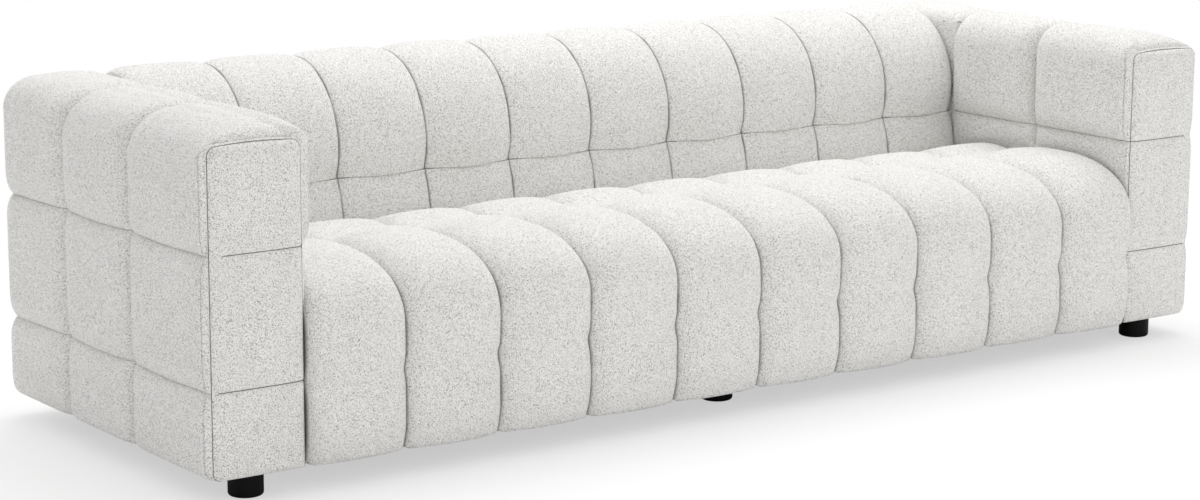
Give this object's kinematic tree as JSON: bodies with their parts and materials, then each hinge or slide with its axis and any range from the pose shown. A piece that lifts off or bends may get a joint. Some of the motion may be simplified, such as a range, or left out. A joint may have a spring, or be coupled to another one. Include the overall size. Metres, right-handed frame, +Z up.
{
  "type": "channel-tufted sofa",
  "caption": "Straight low sofa with deep channel-tufted seat and back, square padded arms as high as the back, textured pale fabric and short round black feet.",
  "frame": {"origin": "on the floor, under the middle of the sofa's bounding box", "axes": "+X to the right of someone looking at the sofa's front, +Y from the front to the rear, +Z up"},
  "size_m": [2.5, 0.88, 0.7],
  "materials": {
    "upholstery": "ivory looped pile, matt",
    "feet": "black, matt",
    "hardwood": "planed, unfinished",
    "plywood": "sanded, unfinished",
    "fibreboard": "smooth hardboard",
    "steel": "zinc plated",
    "spring_steel": "oiled spring wire",
    "foam": "open-cell foam",
    "felt": "needled felt",
    "webbing": "woven elastic webbing",
    "dust_cloth": "black spunbond cloth"
  },
  "bodies": {
    "root": {"foot_front_left": "feet", "foot_front_right": "feet", "foot_rear_left": "feet", "foot_rear_right": "feet", "feet_centre": "feet", "foot_studs": "steel", "foot_tee_nuts": "steel", "seat_front_rail": "hardwood", "seat_rear_rail": "hardwood", "seat_end_rail_left": "hardwood", "seat_end_rail_right": "hardwood", "seat_cross_rails": "hardwood", "seat_corner_blocks": "hardwood", "seat_springs": "spring_steel", "spring_clips": "steel", "spring_tie_wires": "spring_steel", "seat_felt": "felt", "seat_foam": "foam", "seat_cover": "upholstery", "back_post_left": "hardwood", "back_post_right": "hardwood", "back_mid_posts": "hardwood", "back_top_rail": "hardwood", "back_middle_rail": "hardwood", "back_bottom_rail": "hardwood", "back_webbing": "webbing", "back_rear_board": "fibreboard", "back_foam": "foam", "back_cover": "upholstery", "back_rear_cover": "upholstery", "arm_front_post_left": "hardwood", "arm_front_post_right": "hardwood", "arm_rear_post_left": "hardwood", "arm_rear_post_right": "hardwood", "arm_top_rail_left": "hardwood", "arm_top_rail_right": "hardwood", "arm_bottom_rail_left": "hardwood", "arm_bottom_rail_right": "hardwood", "arm_inner_board_left": "plywood", "arm_inner_board_right": "plywood", "arm_outer_board_left": "fibreboard", "arm_outer_board_right": "fibreboard", "arm_foam_left": "foam", "arm_foam_right": "foam", "arm_cover_left": "upholstery", "arm_cover_right": "upholstery", "arm_front_cover_left": "upholstery", "arm_front_cover_right": "upholstery", "unit_bolts": "steel", "unit_washers": "steel", "unit_tee_nuts": "steel", "dust_cover_middle": "dust_cloth", "dust_cover_left": "dust_cloth", "dust_cover_right": "dust_cloth"}
  },
  "joints": []
}
